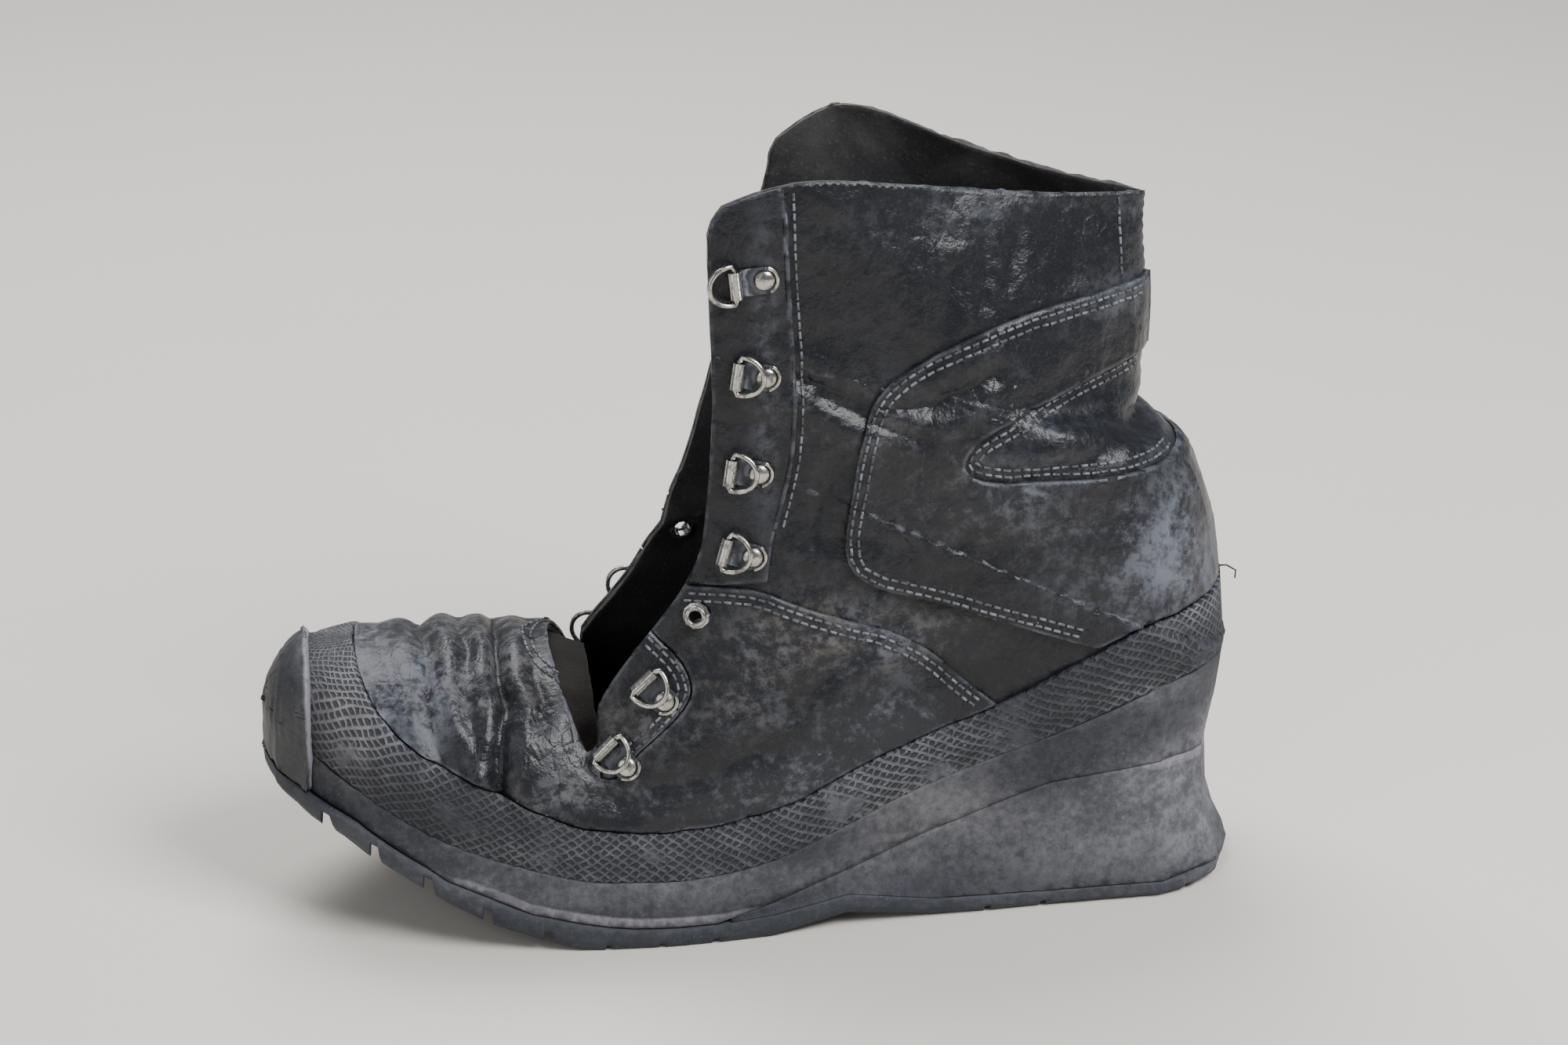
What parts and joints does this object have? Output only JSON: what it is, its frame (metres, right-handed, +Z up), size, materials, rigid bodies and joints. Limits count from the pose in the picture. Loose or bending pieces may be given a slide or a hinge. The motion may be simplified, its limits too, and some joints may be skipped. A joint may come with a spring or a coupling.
{
  "type": "lace-up work boot",
  "caption": "Worn black leather lace-up ankle boot for the left foot, open at the collar and throat, on a built-up wedge sole with a rubber band round its foot.",
  "frame": {"origin": "on the floor under the middle of the heel seat, on the boot's long middle plane", "axes": "+X to the toe, +Y to the outer side of the foot, +Z up"},
  "size_m": [0.3038, 0.1087, 0.2374],
  "materials": {
    "upper_leather": "worn blue-black smooth leather, suede inside, dusty and scuffed",
    "panel_leather": "worn blue-black smooth leather panels with double stitching",
    "rand_rubber": "matte textured rubber with small pits, dusty",
    "cap_rubber": "smooth dark grey rubber, scuffed",
    "midsole_rubber": "dark matte speckled rubber",
    "wedge_rubber": "dark matte rubber",
    "tread_rubber": "bluish grey worn rubber",
    "insole_board": "dark brown worn insole board",
    "tongue_suede": "dark brown suede",
    "nickel": "worn nickel plate"
  },
  "bodies": {
    "boot": {"clip_inner_1": "nickel", "clip_inner_2": "nickel", "clip_inner_3": "nickel", "clip_inner_4": "nickel", "clip_inner_5": "nickel", "clip_inner_6": "nickel", "clip_outer_1": "nickel", "clip_outer_2": "nickel", "clip_outer_3": "nickel", "clip_outer_4": "nickel", "clip_outer_5": "nickel", "clip_outer_6": "nickel", "counter_overlay": "panel_leather", "eyelet_inner": "nickel", "eyelet_outer": "nickel", "heel_wedge": "wedge_rubber", "insole": "insole_board", "lower_eyestay_inner": "panel_leather", "lower_eyestay_outer": "panel_leather", "midsole": "midsole_rubber", "outsole": "tread_rubber", "rand": "rand_rubber", "rivet_inner_1": "nickel", "rivet_inner_2": "nickel", "rivet_inner_3": "nickel", "rivet_inner_4": "nickel", "rivet_inner_5": "nickel", "rivet_inner_6": "nickel", "rivet_outer_1": "nickel", "rivet_outer_2": "nickel", "rivet_outer_3": "nickel", "rivet_outer_4": "nickel", "rivet_outer_5": "nickel", "rivet_outer_6": "nickel", "toe_bumper": "cap_rubber", "tongue": "tongue_suede", "upper": "upper_leather", "upper_eyestay_inner": "panel_leather", "upper_eyestay_outer": "panel_leather", "vamp_panel": "panel_leather"},
    "ring_inner_1": {"d_ring_inner_1": "nickel"},
    "ring_inner_2": {"d_ring_inner_2": "nickel"},
    "ring_inner_3": {"d_ring_inner_3": "nickel"},
    "ring_inner_4": {"d_ring_inner_4": "nickel"},
    "ring_inner_5": {"d_ring_inner_5": "nickel"},
    "ring_inner_6": {"d_ring_inner_6": "nickel"},
    "ring_outer_1": {"d_ring_outer_1": "nickel"},
    "ring_outer_2": {"d_ring_outer_2": "nickel"},
    "ring_outer_3": {"d_ring_outer_3": "nickel"},
    "ring_outer_4": {"d_ring_outer_4": "nickel"},
    "ring_outer_5": {"d_ring_outer_5": "nickel"},
    "ring_outer_6": {"d_ring_outer_6": "nickel"}
  },
  "joints": [
    {"name": "ring_outer_1_hinge", "type": "hinge", "parent": "boot", "child": "ring_outer_1", "pos_m": [0.11678, 0.03848, 0.20648], "axis": [-0.1035, 0.0248, -0.9943], "range_deg": [-150, 0]},
    {"name": "ring_outer_2_hinge", "type": "hinge", "parent": "boot", "child": "ring_outer_2", "pos_m": [0.11638, 0.03887, 0.1789], "axis": [0.1402, 0.0109, -0.9901], "range_deg": [0, 150]},
    {"name": "ring_outer_3_hinge", "type": "hinge", "parent": "boot", "child": "ring_outer_3", "pos_m": [0.11856, 0.03883, 0.14887], "axis": [0.1392, 0.0004, -0.9903], "range_deg": [0, 150]},
    {"name": "ring_outer_4_hinge", "type": "hinge", "parent": "boot", "child": "ring_outer_4", "pos_m": [0.12051, 0.03988, 0.12422], "axis": [0.2669, 0.0502, -0.9624], "range_deg": [0, 150]},
    {"name": "ring_outer_5_hinge", "type": "hinge", "parent": "boot", "child": "ring_outer_5", "pos_m": [0.14523, 0.04194, 0.08407], "axis": [0.7279, 0.0429, -0.6844], "range_deg": [0, 150]},
    {"name": "ring_outer_6_hinge", "type": "hinge", "parent": "boot", "child": "ring_outer_6", "pos_m": [0.15727, 0.04451, 0.06419], "axis": [0.7049, 0.039, -0.7082], "range_deg": [0, 150]},
    {"name": "ring_inner_1_hinge", "type": "hinge", "parent": "boot", "child": "ring_inner_1", "pos_m": [0.09325, -0.0395, 0.20406], "axis": [-0.2421, 0.0113, 0.9702], "range_deg": [0, 150]},
    {"name": "ring_inner_2_hinge", "type": "hinge", "parent": "boot", "child": "ring_inner_2", "pos_m": [0.1002, -0.03956, 0.17819], "axis": [-0.2755, -0.0016, 0.9613], "range_deg": [0, 150]},
    {"name": "ring_inner_3_hinge", "type": "hinge", "parent": "boot", "child": "ring_inner_3", "pos_m": [0.10858, -0.03955, 0.15015], "axis": [-0.3095, 0.0048, 0.9509], "range_deg": [0, 150]},
    {"name": "ring_inner_4_hinge", "type": "hinge", "parent": "boot", "child": "ring_inner_4", "pos_m": [0.11704, -0.04006, 0.12514], "axis": [-0.379, 0.0375, 0.9247], "range_deg": [0, 150]},
    {"name": "ring_inner_5_hinge", "type": "hinge", "parent": "boot", "child": "ring_inner_5", "pos_m": [0.14243, -0.04177, 0.07809], "axis": [-0.7235, 0.0256, 0.6899], "range_deg": [-150, 0]},
    {"name": "ring_inner_6_hinge", "type": "hinge", "parent": "boot", "child": "ring_inner_6", "pos_m": [0.15418, -0.04372, 0.06267], "axis": [-0.7121, 0.0895, 0.6964], "range_deg": [-150, 0]}
  ]
}
